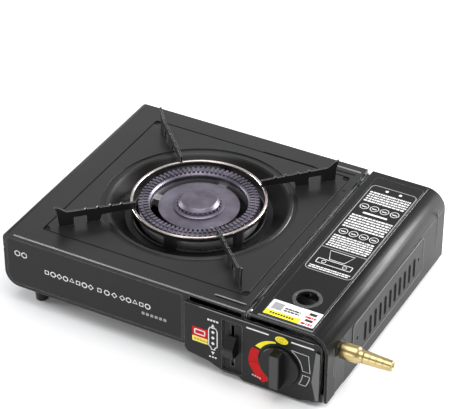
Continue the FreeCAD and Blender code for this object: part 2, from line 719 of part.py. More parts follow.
def make_valve():
    """Regulator with its outlet, jet and hose inlet, and the socket that takes the bottle."""
    item = body("regulator_body", "gas_x", "0", "gas_height")
    half = sketch(item, "regulator_half", "XY")
    outline(half, [("0", "14"), ("16", "14"), ("16", "34"), ("21", "34"), ("21", "48"), ("0", "48")])
    revolve(item, half)
    neck = sketch(item, "regulator_neck", "XZ", "5.5")
    circle(neck, "knob_x - gas_x", "knob_height - gas_height", "9")
    pad(item, neck, "10")
    bore = sketch(item, "regulator_bore", "XZ", "5")
    circle(bore, "knob_x - gas_x", "knob_height - gas_height", "stem_radius + fit_gap")
    pocket(item, bore, "16")
    outlet = sketch(item, "regulator_outlet", "YZ", "-33.5")
    circle(outlet, "jet_y", "0", "6.5")
    pad(item, outlet, "25")
    inlet = sketch(item, "regulator_inlet", "YZ", "8")
    circle(inlet, "hose_y", "hose_height - gas_height", "7.3")
    pad(item, inlet, "18.5")
    jet = [
        along_x("jet_hex", "bulkhead_x + 3", "jet_y", "gas_height", "5.5", "4"),
        along_x("jet_tip", "bulkhead_x - 7", "jet_y", "gas_height", "2.5", "10"),
    ]
    name_part(join("jet", jet), "jet_nozzle")
    ring = along_y("socket_ring", "gas_x", "48", "gas_height", "17", "8")
    hole = along_y("socket_hole", "gas_x", "48", "gas_height", "12", "9")
    name_part(cut("socket", ring, hole), "bottle_socket")
    name_part(box("piezo", "266", "9", "57", "13", "32", "13"), "piezo_igniter")
    sleeve = along_x("union_sleeve", "gas_x + 26.6", "hose_y", "hose_height", "8.5", "14")
    thread = along_x("union_thread", "gas_x + 25", "hose_y", "hose_height", "5 + fit_gap", "17")
    name_part(cut("union", sleeve, thread), "inlet_union")


def make_hose_barb():
    """Turned brass hose tail: thread, collar and a ridged tail."""
    item = body("hose_barb", "0", "hose_y", "hose_height")
    half = sketch(item, "barb_half", "XZ")
    tail = []
    for n in range(4):
        crest = "body_width + %s" % (24 + n * 6.5)
        tail += [(crest, "%s" % (6.3 - n * 0.25)), (crest + " + 5.6", "%s" % (5.95 - n * 0.25))]
    outline(half, [
        ("gas_x + 28", "hose_bore"),
        ("gas_x + 28", "5"),
        ("body_width + 1.5", "5"),
        ("body_width + 1.5", "collar_radius - 0.8"),
        ("body_width + 2.3", "collar_radius"),
        ("body_width + 17.2", "collar_radius"),
        ("body_width + 20", "6.5"),
        ("body_width + 23.4", "5.95"),
    ] + tail + [
        ("hose_tip", "5"),
        ("hose_tip", "hose_bore"),
    ])
    revolve(item, half, "H_Axis")


def make_inlet_tab():
    """Upright tab on the bin's lip. It fills the lid's slot, flush with the lid's side wall."""
    item = body("inlet_tab")
    face = sketch(item, "tab_face", "YZ", "body_width - metal")
    half = "(collar_radius + 1 - slot_gap)"
    rectangle(face, "hose_y - " + half, "lid_bottom + 1", "hose_y + " + half, "hose_height + " + half, "8.7")
    circle(face, "hose_y", "hose_height", "5 + 2 * fit_gap")
    pad(item, face, "metal")
    leg = sketch(item, "tab_leg", "YZ", "front_right")
    rectangle(leg, "hose_y - " + half, "lid_bottom + 1", "hose_y + " + half, "bin_lip")
    pad(item, leg, "body_width - front_right")


def make_cradle():
    """Curved rest under the gas bottle, on two ribs."""
    outer = along_y("cradle_outer", "gas_x", "80", "gas_height", "bottle_radius + 1.9", "160")
    inner = along_y("cradle_inner", "gas_x", "79", "gas_height", "bottle_radius + 0.7", "162")
    above = box("cradle_above", "gas_x - 50", "78", "gas_height - 17", "100", "164", "60")
    arc = cut("cradle_arc", cut("cradle_pipe", outer, inner), above)
    ribs = [
        box("rib_front", "gas_x - 20", "90", "bin_height + metal", "40", "metal", "9"),
        box("rib_rear", "gas_x - 20", "228", "bin_height + metal", "40", "metal", "9"),
    ]
    below = along_y("rib_clear", "gas_x", "79", "gas_height", "bottle_radius + 1", "162")
    name_part(join("cradle", [arc, cut("cradle_ribs", join("ribs", ribs), below)]), "bottle_cradle")


# ---- Lid -------------------------------------------------------------------------------------

def make_lid():
    """Lid: top, rounded shoulder and side wall, with rims, vents, finger hole and knuckles."""
    item = body("lid_shell")
    sheet = sketch(item, "lid_sheet", "XZ")
    lid_section(sheet, "metal")
    pad(item, sheet, "body_depth")
    for n, y in enumerate(("0", "body_depth - metal")):
        rim = sketch(item, "lid_rim%d" % n, "XZ", y)
        lid_section(rim, "lid_rim")
        pad(item, rim, "metal")
    field = sketch(item, "top_field", "XY", "top_height - 0.4")
    rectangle(field, "270.5", "5", "321", "248", "4")
    pad(item, field, "lid_raise + 0.4")
    ring = sketch(item, "finger_ring", "XY", "top_height - 0.4")
    circle(ring, "finger_x", "finger_y", "finger_radius + 3.2")
    pad(item, ring, "lid_raise + 1.2")
    hole = sketch(item, "finger_hole", "XY", "top_height - 5")
    circle(hole, "finger_x", "finger_y", "finger_radius")
    pocket(item, hole, "10")
    panel = sketch(item, "side_field", "YZ", "body_width - 0.4")
    rectangle(panel, "50", "20", "206", "60", "4")
    pad(item, panel, "lid_raise + 0.4")
    dots = sketch(item, "side_dots", "YZ", "body_width - 5")
    circle(dots, "60", "39.5", "2")
    circle(dots, "195", "39.5", "2")
    pocket(item, dots, "10")
    vent = sketch(item, "side_vent", "YZ", "body_width - 5")
    rectangle(vent, "75.9", "26.2", "78.3", "45.8", "1.1")
    row_of(item, pocket(item, vent, "10"), "Y", "108", 11)
    slot = sketch(item, "hose_slot", "YZ", "body_width - 5")
    half = "(collar_radius + 1)"
    rectangle(slot, "hose_y - " + half, "0", "hose_y + " + half, "hose_height + " + half, "7")
    pocket(item, slot, "10")
    mouth = sketch(item, "slot_mouth", "YZ", "body_width - 5")
    rectangle(mouth, "hose_y - " + half, "0", "hose_y + " + half, "hose_height - 10")
    pocket(item, mouth, "10")
    for n, y in enumerate(("20", "body_depth - 28")):
        link = sketch(item, "knuckle_link%d" % n, "XZ", y)
        rectangle(link, "hinge_x", "hinge_height - knuckle_radius", "lid_left + 2.5", "top_height - 1")
        pad(item, link, "8")
        knuckle = sketch(item, "knuckle%d" % n, "XZ", y)
        circle(knuckle, "hinge_x", "hinge_height", "knuckle_radius")
        pad(item, knuckle, "8")
    bore = sketch(item, "knuckle_bore", "XZ", "10")
    circle(bore, "hinge_x", "hinge_height", "hinge_radius + fit_gap")
    pocket(item, bore, "body_depth - 20")


def lid_section(item, thickness):
    """The lid's bent section with the given thickness."""
    outline(item, [
        ("lid_left", "top_height"),
        ("body_width", "top_height", "lid_radius"),
        ("body_width", "lid_bottom"),
        ("body_width - " + thickness, "lid_bottom"),
        ("body_width - " + thickness, "top_height - " + thickness, "lid_radius - " + thickness),
        ("lid_left", "top_height - " + thickness),
    ])


# ---- Knob, lever and bottle slide ------------------------------------------------------------

def make_knob():
    """Knob with a bar grip, on the valve's stem."""
    item = body("knob", "knob_x", "0", "knob_height")
    half = sketch(item, "knob_half", "XY")
    outline(half, [
        ("0", "-panel_metal - 0.7"),
        ("knob_radius", "-panel_metal - 0.7"),
        ("knob_radius - 0.6", "-knob_face", "1"),
        ("0", "-knob_face"),
    ])
    revolve(item, half)
    grip = sketch(item, "knob_grip", "XZ", "-knob_front")
    rectangle(grip, "-grip_width / 2", "-knob_radius + 1.4", "grip_width / 2", "knob_radius - 0.8", "1.5")
    pad(item, grip, "knob_front - knob_face + 1")
    bore = sketch(item, "knob_bore", "XZ", "-knob_front + 3")
    circle(bore, "0", "0", "stem_radius + fit_gap")
    pocket(item, bore, "knob_front")
    stem = along_y("stem", "knob_x", "-knob_front + 3.1", "knob_height", "stem_radius", "knob_front + 15")
    name_part(stem, "valve_stem")


def make_lever():
    """Locking lever: a wedge-shaped grip in front of the slit and a slide plate behind the wall."""
    item = body("lock_lever", "slit_left + slit_width / 2", "0", "lever_low")
    side = sketch(item, "grip_side", "YZ", "-grip_width / 2")
    outline(side, [
        ("-panel_metal / 2 + 0.1", "0"),
        ("-lever_front + 2", "0", "1"),
        ("-lever_front", "9.5", "1"),
        ("-lever_front", "11.5", "1"),
        ("-panel_metal - 1", "21", "0.5"),
        ("-panel_metal - 0.2", "21"),
        ("-panel_metal - 0.2", "15.5"),
        ("-panel_metal / 2 + 0.1", "15.5"),
    ])
    pad(item, side, "grip_width")
    tongue = sketch(item, "grip_tongue", "XZ", "-panel_metal / 2")
    rectangle(tongue, "-slit_width / 2 + 0.6", "1", "slit_width / 2 - 0.6", "11")
    pad(item, tongue, "panel_metal / 2 + 2.5")
    name_part(box("slider", "238", "2.5", "13", "16", "1.5", "31"), "lever_slider")


def make_bottle_slide():
    """Plate round the bottle's collar. It moves back when the lever is lifted."""
    item = body("bottle_slide")
    plate = sketch(item, "slide_plate", "XZ", "58")
    rectangle(plate, "bulkhead_x + 3", "bin_height + 7", "front_right - 4", "68", "3")
    circle(plate, "gas_x", "gas_height", "18.5")
    pad(item, plate, "2")
    tongue = sketch(item, "slide_tongue", "XZ", "58")
    rectangle(tongue, "bulkhead_x - 9", "38", "bulkhead_x + 5", "48")
    pad(item, tongue, "2")


SCREWS = [("60", "34"), ("60", "222"), ("176", "34"), ("176", "222")]

make_base_shell()
make_top_plate()
make_control_panel()
make_bulkhead()
make_control_bracket()
make_case_small_parts()
for end, depth in (("front", "18"), ("rear", "body_depth - 18")):
    make_foot("foot_%s_left" % end, "28", depth, "belly_height")
    make_foot("foot_%s_right" % end, "gas_x + 10", depth, "bin_height")
make_drip_pan()
make_wind_ring()
for corner, turn in (("rear_right", 45), ("rear_left", 135), ("front_left", 225), ("front_right", 315)):
    make_pot_support("pot_support_" + corner, turn)
make_burner()
make_electrode()
make_mixing_tube()
make_valve()
make_hose_barb()
make_inlet_tab()
make_cradle()
make_lid()
make_knob()
make_lever()
make_bottle_slide()

doc.recompute()
for item in doc.Objects:
    if "Invalid" in item.State or "Error" in item.State:
        raise RuntimeError("%s failed: %s" % (item.Label, item.State))
for item in SUBPARTS:
    if item.Shape.isNull() or not item.Shape.isValid() or not item.Shape.Solids:
        raise RuntimeError("%s has no valid solid" % item.Label)

os.makedirs("parts", exist_ok=True)
for item in SUBPARTS:
    item.Shape.exportStep(os.path.join("parts", item.Label + ".step"))
print("%d sub-parts written" % len(SUBPARTS))
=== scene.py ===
import json
import math
import random

import bmesh
import bpy
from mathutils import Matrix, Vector


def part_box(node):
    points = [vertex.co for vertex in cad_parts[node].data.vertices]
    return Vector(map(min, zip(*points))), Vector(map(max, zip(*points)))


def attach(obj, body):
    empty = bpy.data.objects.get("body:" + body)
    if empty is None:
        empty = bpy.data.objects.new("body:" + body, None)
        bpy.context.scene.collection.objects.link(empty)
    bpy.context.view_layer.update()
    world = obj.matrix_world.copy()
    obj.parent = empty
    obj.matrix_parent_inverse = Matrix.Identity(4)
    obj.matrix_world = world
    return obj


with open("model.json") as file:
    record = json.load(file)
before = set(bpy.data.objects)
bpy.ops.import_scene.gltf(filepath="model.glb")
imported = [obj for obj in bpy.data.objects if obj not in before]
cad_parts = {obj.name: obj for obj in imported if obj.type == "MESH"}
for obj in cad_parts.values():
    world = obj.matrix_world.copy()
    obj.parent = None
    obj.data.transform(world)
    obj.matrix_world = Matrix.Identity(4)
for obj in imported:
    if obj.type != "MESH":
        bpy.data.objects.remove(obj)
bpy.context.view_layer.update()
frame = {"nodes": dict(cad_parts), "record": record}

# Places on the stove are given in millimetres from the case's front left corner and the table:
# x to the right, y to the back, z up.
MM = 0.001
CASE_LOW, CASE_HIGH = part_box("base_shell")
PANEL_LOW, PANEL_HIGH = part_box("control_panel")
BURNER_LOW, BURNER_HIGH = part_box("burner_cap")
KNOB_LOW, KNOB_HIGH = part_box("valve_stem")
DEPTH = (CASE_HIGH.y - CASE_LOW.y) / MM
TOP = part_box("drip_pan")[1].z / MM
LID_TOP = TOP + 0.5
PRINT = 0.12
PANEL_FACE = (PANEL_LOW.y - CASE_LOW.y) / MM + 0.5
BURNER = ((BURNER_LOW.x + BURNER_HIGH.x) / 2 - CASE_LOW.x) / MM, \
         ((BURNER_LOW.y + BURNER_HIGH.y) / 2 - CASE_LOW.y) / MM
LID_SIDE = (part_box("lid_shell")[1].x - CASE_LOW.x) / MM - 0.5
FINGER_HOLE = 298, 42, 0
DIAL = ((KNOB_LOW.x + KNOB_HIGH.x) / 2 - CASE_LOW.x) / MM, (KNOB_LOW.z + KNOB_HIGH.z) / 2 / MM


def at(x, y, z):
    """A point of the stove, in metres in the row frame."""
    return Vector((CASE_LOW.x + x * MM, CASE_LOW.y + y * MM, z * MM))


# ---- Camera, light and floor -----------------------------------------------------------------

def direction(azimuth, elevation):
    """Towards a viewer at that azimuth (0 in front, 90 at the right) and elevation, in degrees."""
    turn, lift = math.radians(azimuth), math.radians(elevation)
    return Vector((math.sin(turn) * math.cos(lift), -math.cos(turn) * math.cos(lift), math.sin(lift)))


def make_camera():
    """A long lens, aimed a little beside the case's middle."""
    aim = at(170, 140, 40.44)
    distance, shift_right, shift_down = 1984.4, 6.42, 32.86
    data = bpy.data.cameras.new("camera")
    data.sensor_width = 36
    data.lens = 163.73
    data.clip_end = 20
    camera = bpy.data.objects.new("camera", data)
    bpy.context.scene.collection.objects.link(camera)
    back = direction(28.44, 35.05)
    right = (-back).cross(Vector((0, 0, 1))).normalized()
    up = right.cross(-back)
    camera.location = aim - (right * shift_right - up * shift_down - back * distance) * MM
    camera.rotation_euler = back.to_track_quat("Z", "Y").to_euler()
    bpy.context.scene.camera = camera


def area_light(name, azimuth, elevation, distance, width, height, power):
    data = bpy.data.lights.new(name, "AREA")
    data.shape = "RECTANGLE"
    data.size, data.size_y = width, height
    data.energy = power
    light = bpy.data.objects.new(name, data)
    bpy.context.scene.collection.objects.link(light)
    light.location = direction(azimuth, elevation) * distance
    light.rotation_euler = direction(azimuth, elevation).to_track_quat("Z", "Y").to_euler()


def make_studio():
    world = bpy.data.worlds.new("studio")
    world.use_nodes = True
    world.node_tree.nodes["Background"].inputs["Color"].default_value = (0.97, 0.98, 1, 1)
    world.node_tree.nodes["Background"].inputs["Strength"].default_value = 0.48
    scene = bpy.context.scene
    scene.world = world
    scene.view_settings.view_transform = "Standard"
    area_light("overhead", 20, 80, 1.9, 1.5, 1.5, 26)
    area_light("back_left", 212, 28, 1.8, 1.3, 0.8, 2.6)
    area_light("shoulder_strip", 141, 23, 1.6, 0.9, 0.6, 40)
    area_light("low_left", -82, 8, 2.0, 0.8, 0.5, 45)
    area_light("front_fill", -5, 12, 2.2, 1.0, 0.6, 7)
    mesh = bpy.data.meshes.new("floor")
    mesh.from_pydata([(-4, -4, 0), (4, -4, 0), (4, 4, 0), (-4, 4, 0)], [], [(0, 1, 2, 3)])
    floor = bpy.data.objects.new("floor", mesh)
    scene.collection.objects.link(floor)
    floor.data.materials.append(make_floor())


# ---- Materials -------------------------------------------------------------------------------

class Nodes:
    """A material's node tree, with short calls for the nodes that this scene uses."""

    def __init__(self, name):
        self.material = bpy.data.materials.new(name)
        self.material.use_nodes = True
        self.tree = self.material.node_tree
        self.shader = self.tree.nodes["Principled BSDF"]
        self.place = self.add("ShaderNodeTexCoord").outputs["Object"]

    def add(self, kind, **inputs):
        node = self.tree.nodes.new(kind)
        for name, amount in inputs.items():
            self.put(node.inputs[name], amount)
        return node

    def put(self, socket, amount):
        if isinstance(amount, bpy.types.NodeSocket):
            self.tree.links.new(amount, socket)
        else:
            socket.default_value = amount

    def noise(self, scale, detail=3, stretch=None):
        place = self.place
        if stretch:
            mapping = self.add("ShaderNodeMapping", Vector=place)
            mapping.inputs["Scale"].default_value = stretch
            place = mapping.outputs["Vector"]
        node = self.add("ShaderNodeTexNoise", Vector=place, Scale=scale, Detail=detail)
        return node.outputs["Fac"]

    def ramp(self, factor, low, high, colors=((0, 0, 0), (1, 1, 1))):
        node = self.add("ShaderNodeValToRGB", Fac=factor)
        for stop, spot, color in zip(node.color_ramp.elements, (low, high), colors):
            stop.position = spot
            stop.color = (*color, 1)
        return node.outputs["Color"]

    def mix(self, factor, first, second, kind="MIX"):
        node = self.tree.nodes.new("ShaderNodeMix")
        node.data_type = "RGBA"
        node.blend_type = kind
        self.put(node.inputs["Factor"], factor)
        self.put(node.inputs["A"], first if isinstance(first, bpy.types.NodeSocket) else (*first, 1))
        self.put(node.inputs["B"], second if isinstance(second, bpy.types.NodeSocket) else (*second, 1))
        return node.outputs["Result"]

    def between(self, factor, low, high):
        node = self.add("ShaderNodeMapRange", Value=factor)
        node.inputs["To Min"].default_value = low
        node.inputs["To Max"].default_value = high
        return node.outputs["Result"]

    def bump(self, height, strength, depth):
        node = self.add("ShaderNodeBump", Height=height, Strength=strength, Distance=depth)
        self.put(self.shader.inputs["Normal"], node.outputs["Normal"])

    def edges(self, width, low=0.02, high=0.2):
        """A mask that is bright along sharp edges, within that width of them. painted() lightens the paint
        there, partly as rubbed paint and partly as painted highlight.
        """
        soft = self.add("ShaderNodeBevel", Radius=width * MM)
        hard = self.add("ShaderNodeNewGeometry")
        dot = self.add("ShaderNodeVectorMath")
        dot.operation = "DOT_PRODUCT"
        self.tree.links.new(soft.outputs["Normal"], dot.inputs[0])
        self.tree.links.new(hard.outputs["Normal"], dot.inputs[1])
        turned = self.add("ShaderNodeMath")
        turned.operation = "SUBTRACT"
        turned.inputs[0].default_value = 1
        self.tree.links.new(dot.outputs["Value"], turned.inputs[1])
        return self.ramp(turned.outputs["Value"], low, high)

    def set(self, **inputs):
        for name, amount in inputs.items():
            self.put(self.shader.inputs[name.replace("_", " ")], amount)
        return self.material


def make_floor():
    n = Nodes("floor")
    color = n.ramp(n.noise(2), 0.3, 0.8, ((0.86, 0.86, 0.87), (0.9, 0.9, 0.9)))
    return n.set(Base_Color=color, Roughness=0.9)


def painted(name, dark, light, rough, wear_and_highlight, width=0.9, grain=0.04, shine=0.33):
    """Satin paint on steel: fine orange peel, faint cloudiness and dust. Sharp edges are lightened, partly
    as rubbed paint and partly as painted highlight.
    """
    n = Nodes(name)
    color = n.mix(n.noise(14, 5), dark, light)
    dust = n.ramp(n.noise(900, 4), 0.62, 0.8, ((0, 0, 0), (0.012, 0.012, 0.012)))
    color = n.mix(1, color, dust, "ADD")
    # Painted highlight and rubbed paint: sharp edges lighten towards this grey, in a chipped pattern.
    if wear_and_highlight:
        chipped = n.mix(n.ramp(n.noise(160, 4), 0.3, 0.7), (0.6, 0.6, 0.6), (1, 1, 1))
        edge = n.mix(1, n.edges(width), chipped, "MULTIPLY")
        color = n.mix(edge, color, (wear_and_highlight, wear_and_highlight, wear_and_highlight))
    n.bump(n.noise(1500, 2), grain, 0.0002)
    return n.set(Base_Color=color, Specular_IOR_Level=shine,
                 Roughness=n.between(n.noise(45, 4), rough - 0.06, rough + 0.08))


def bare_metal(name, dark, light, rough, stretch=None, scale=400):
    n = Nodes(name)
    streaks = n.noise(scale, 4, stretch)
    color = n.mix(streaks, dark, light)
    stain = n.ramp(n.noise(30, 5), 0.45, 0.75, ((1, 1, 1), (0.72, 0.7, 0.68)))
    n.bump(streaks, 0.08, 0.0002)
    return n.set(Base_Color=n.mix(1, color, stain, "MULTIPLY"), Metallic=1.0,
                 Roughness=n.between(streaks, rough - 0.08, rough + 0.1))


def cast(name, dark, light):
    n = Nodes(name)
    lumps = n.noise(900, 5)
    n.bump(lumps, 0.35, 0.0004)
    color = n.mix(n.noise(60, 5), dark, light)
    return n.set(Base_Color=color, Metallic=0.9, Roughness=n.between(lumps, 0.45, 0.7))


def heated(name):
    """Steel that heat has tinted a greyish violet, in soft blotches."""
    n = Nodes(name)
    tint = n.ramp(n.noise(40, 4), 0.3, 0.7, ((0.09, 0.08, 0.105), (0.22, 0.2, 0.25)))
    n.bump(n.noise(700, 4), 0.15, 0.0003)
    return n.set(Base_Color=tint, Metallic=0.85, Roughness=n.between(n.noise(120, 4), 0.32, 0.55))


def moulded(name, dark, light, rough, grain=900):
    """Moulded plastic or rubber: a fine spark-eroded grain with faint handling marks."""
    n = Nodes(name)
    n.bump(n.noise(grain, 3), 0.18, 0.0003)
    smear = n.noise(35, 5)
    return n.set(Base_Color=n.mix(smear, dark, light), Specular_IOR_Level=0.33,
                 Roughness=n.between(smear, rough - 0.08, rough + 0.08))


def ink(name, color, rough=0.5):
    """Printed ink: slightly uneven cover over a fine grain."""
    n = Nodes(name)
    faded = tuple(c * 0.86 for c in color)
    n.bump(n.noise(2500, 2), 0.08, 0.0001)
    return n.set(Base_Color=n.mix(n.ramp(n.noise(260, 4), 0.4, 0.7), color, faded),
                 Specular_IOR_Level=0.2, Roughness=n.between(n.noise(90), rough - 0.05, rough + 0.1))


def beaded(name):
    """The wind ring: a polished bead on a skirt painted nearly black, as painted shade below the bead."""
    n = Nodes(name)
    height = n.add("ShaderNodeSeparateXYZ", Vector=n.place).outputs["Z"]
    low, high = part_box("wind_ring")[1].z - 2.6 * MM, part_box("wind_ring")[1].z - 2.2 * MM
    bead = n.add("ShaderNodeMapRange", Value=height)
    bead.inputs["From Min"].default_value = low
    bead.inputs["From Max"].default_value = high
    polish = n.mix(n.noise(60, 4), (0.42, 0.36, 0.34), (0.66, 0.6, 0.57))
    # Painted shade: the skirt below the bead.
    painted_shade = n.mix(n.noise(90, 5), (0.012, 0.011, 0.012), (0.03, 0.028, 0.03))
    n.bump(n.noise(700, 3), 0.05, 0.0002)
    return n.set(Base_Color=n.mix(bead.outputs["Result"], painted_shade, polish),
                 Metallic=bead.outputs["Result"], Roughness=n.between(n.noise(150, 4), 0.2, 0.38))


def shaded_dish_paint(name):
    """The pan: satin black paint, with painted shade in the dish: darker and less glossy below the plate's
    level.
    """
    n = Nodes(name)
    height = n.add("ShaderNodeSeparateXYZ", Vector=n.place).outputs["Z"]
    level = n.add("ShaderNodeMapRange", Value=height)
    level.inputs["From Min"].default_value = (TOP - 2.2) * MM
    level.inputs["From Max"].default_value = (TOP - 0.4) * MM
    above_dish = level.outputs["Result"]
    paint = n.mix(n.noise(14, 5), (0.007, 0.007, 0.0075), (0.013, 0.013, 0.0138))
    # Painted shade in the dish below the plate's level.
    painted_shade = n.mix(n.noise(90, 5), (0.003, 0.003, 0.003), (0.006, 0.006, 0.006))
    n.bump(n.noise(1500, 2), 0.04, 0.0002)
    return n.set(Base_Color=n.mix(above_dish, painted_shade, paint), Specular_IOR_Level=n.between(above_dish, 0.14, 0.33),
                 Roughness=n.between(n.noise(45, 4), 0.27, 0.41))


def make_materials():
    return {
        "black_case": painted("case_paint", (0.007, 0.007, 0.0074), (0.012, 0.012, 0.0126), 0.33, 0.2,
                              shine=0.26),
        # Painted shade: the lid has the case's paint, made darker and less glossy to shade it.
        "shaded_lid_paint": painted("shaded_lid_paint", (0.005, 0.005, 0.0053), (0.009, 0.009, 0.0095), 0.32, 0.2,
                             shine=0.18),
        "pan_paint": shaded_dish_paint("pan_paint"),
        "black_flat": painted("flat_paint", (0.007, 0.007, 0.0075), (0.013, 0.013, 0.0138), 0.33, 0),
        # Painted highlights: lighter grey paints for the light caught by ribs, beads along edges and the
        # panel's facet where it bends.
        "highlight_crest": painted("crest_highlight_paint", (0.15, 0.15, 0.15), (0.24, 0.24, 0.24), 0.3, 0),
        "highlight_edge": painted("edge_highlight_paint", (0.32, 0.32, 0.32), (0.5, 0.5, 0.5), 0.25, 0),
        "rib_highlight_paint": painted("rib_highlight_paint", (0.045, 0.045, 0.045), (0.07, 0.07, 0.07), 0.26, 0),
        "facet_highlight": painted("facet_highlight_paint", (0.1, 0.1, 0.1), (0.16, 0.16, 0.16), 0.35, 0),
        # Painted highlight: a lighter plastic for the streak of light on the knob's bar.
        "knob_bar": moulded("bar_highlight_plastic", (0.035, 0.035, 0.036), (0.05, 0.05, 0.052), 0.4),
        "black_panel": painted("panel_paint", (0.007, 0.007, 0.0074), (0.012, 0.012, 0.0126), 0.38, 0.25,
                               shine=0.26),
        # The supports' edges are lightened strongly: rubbed paint and painted glints on their teeth.
        "black_enamel": painted("support_enamel", (0.008, 0.008, 0.0084), (0.015, 0.015, 0.0154), 0.3,
                                0.5, 0.6),
        "zinc_sheet": bare_metal("zinc", (0.42, 0.42, 0.42), (0.62, 0.62, 0.63), 0.38, (1, 12, 1)),
        "steel_rod": bare_metal("steel", (0.45, 0.45, 0.46), (0.62, 0.62, 0.63), 0.3),
        "bright_rim": beaded("rim_steel"),
        "burner_steel": heated("burner_steel"),
        "cast_aluminium": cast("aluminium", (0.3, 0.3, 0.31), (0.5, 0.5, 0.51)),
        "brass": bare_metal("brass", (0.44, 0.34, 0.15), (0.6, 0.49, 0.25), 0.3, (3, 40, 40), 3),
        "ceramic": moulded("ceramic", (0.75, 0.74, 0.7), (0.86, 0.85, 0.82), 0.25, 300),
        "rubber": moulded("rubber", (0.012, 0.012, 0.012), (0.022, 0.022, 0.022), 0.75),
        "black_plastic": moulded("plastic", (0.002, 0.002, 0.002), (0.004, 0.004, 0.004), 0.38),
    }


# ---- Mesh helpers ----------------------------------------------------------------------------

def dress(piece, body, material):
    piece.data.materials.append(material)
    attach(piece, body)
    return piece


def new_piece(name, mesh_maker, body, material):
    mesh = bpy.data.meshes.new(name)
    work = bmesh.new()
    mesh_maker(work)
    bmesh.ops.recalc_face_normals(work, faces=work.faces)
    work.to_mesh(mesh)
    work.free()
    piece = bpy.data.objects.new(name, mesh)
    bpy.context.scene.collection.objects.link(piece)
    return dress(piece, body, material)


def rect(x0, y0, x1, y1, radius=0.0, steps=5):
    """Corners of a rectangle, rounded if a radius is given."""
    if not radius:
        return [(x0, y0), (x1, y0), (x1, y1), (x0, y1)]
    centres = [(x1 - radius, y1 - radius), (x0 + radius, y1 - radius),
               (x0 + radius, y0 + radius), (x1 - radius, y0 + radius)]
    points = []
    for quarter, (x, y) in enumerate(centres):
        for step in range(steps + 1):
            a = math.pi / 2 * (quarter + step / steps)
            points.append((x + radius * math.cos(a), y + radius * math.sin(a)))
    return points


def ellipse(x, y, width, height, steps=28):
    return [(x + width * math.cos(2 * math.pi * n / steps), y + height * math.sin(2 * math.pi * n / steps))
            for n in range(steps)]


def band(points, width, closed=True):
    """Four-sided pieces that follow a line, mitred at its points."""
    count = len(points)
    sides = []
    for n, (x, y) in enumerate(points):
        before = points[n - 1] if closed or n else points[n]
        after = points[(n + 1) % count] if closed or n < count - 1 else points[n]
        along = Vector((after[0] - before[0], after[1] - before[1])).normalized()
        off = Vector((-along.y, along.x)) * width / 2
        sides.append(((x + off.x, y + off.y), (x - off.x, y - off.y)))
    last = count if closed else count - 1
    return [[sides[n][0], sides[(n + 1) % count][0], sides[(n + 1) % count][1], sides[n][1]]
            for n in range(last)]


def printed(name, shapes, plane, level, body, material, thick=PRINT):
    """Flat shapes, printed or stuck on a face of the stove. They stand off it by their thickness."""
    lift = -thick if plane == "front" else thick
    spot = {"front": lambda u, v, out: at(u, out, v), "top": lambda u, v, out: at(u, v, out),
            "side": lambda u, v, out: at(out, u, v)}[plane]

    def make(work):
        for shape in shapes:
            rows = []
            for height in (level, level + lift):
                rows.append([work.verts.new(spot(u, v, height)) for u, v in shape])
            work.faces.new(rows[0])
            work.faces.new(rows[1])
            for n in range(len(shape)):
                m = (n + 1) % len(shape)
                work.faces.new((rows[0][n], rows[0][m], rows[1][m], rows[1][n]))

    return new_piece(name, make, body, material)


def text_rows(x0, y0, x1, y1, count, seed, gap=0.45, longest=4.2):
    """Rows of small dashes that stand for lines of print. They spell nothing."""
    chance = random.Random(seed)
    pitch = (y1 - y0) / count
    shapes = []
    for row in range(count):
        y = y0 + pitch * row
        x = x0 + chance.uniform(0, 0.6)
        while x < x1 - 0.8:
            end = min(x1, x + chance.uniform(0.8, longest))
            shapes.append(rect(x, y + pitch * gap / 2, end, y + pitch * (1 - gap / 2)))
            x = end + chance.uniform(0.4, 0.9)
    return shapes


# ---- Prints and stickers ---------------------------------------------------------------------

def polygon(x, y, radius, sides, turn=0.0):
    return [(x + radius * math.sin(2 * math.pi * n / sides + turn),
             y + radius * math.cos(2 * math.pi * n / sides + turn)) for n in range(sides)]


def make_front_print(inks):
    """A row of plain shapes in the place of the front's lettering, and dashes for the small print."""
    level = 0.0
    middle, size, line = 48.3, 2.7, 1.0
    shapes = []
    kinds = ((4, 0.0), (6, 0.0), (3, 0.0), (4, math.pi / 4), (8, 0.0))
    for first, last, count in ((47.5, 95.5, 8), (105, 121, 3), (129.5, 156.5, 5)):
        for n in range(count):
            x = first + (last - first) * n / (count - 1)
            sides, turn = kinds[(n + count) % len(kinds)]
            shapes += band(polygon(x, middle, size, sides, turn), line)
    printed("front_frieze", shapes, "front", level, "stove", inks["white"])
    marks = band(polygon(15.5, 59.5, 3.0, 6), 0.9) + band(polygon(23, 59.5, 3.0, 6), 0.9)
    printed("front_marks", marks, "front", level, "stove", inks["white"])
    start, pitch, width = 150, 4.6, 3
    small = [rect(start + n * pitch, 37.5, start + width + n * pitch, 40.6, 0.5) for n in range(6)]
    printed("small_print", small, "front", level, "stove", inks["grey"])


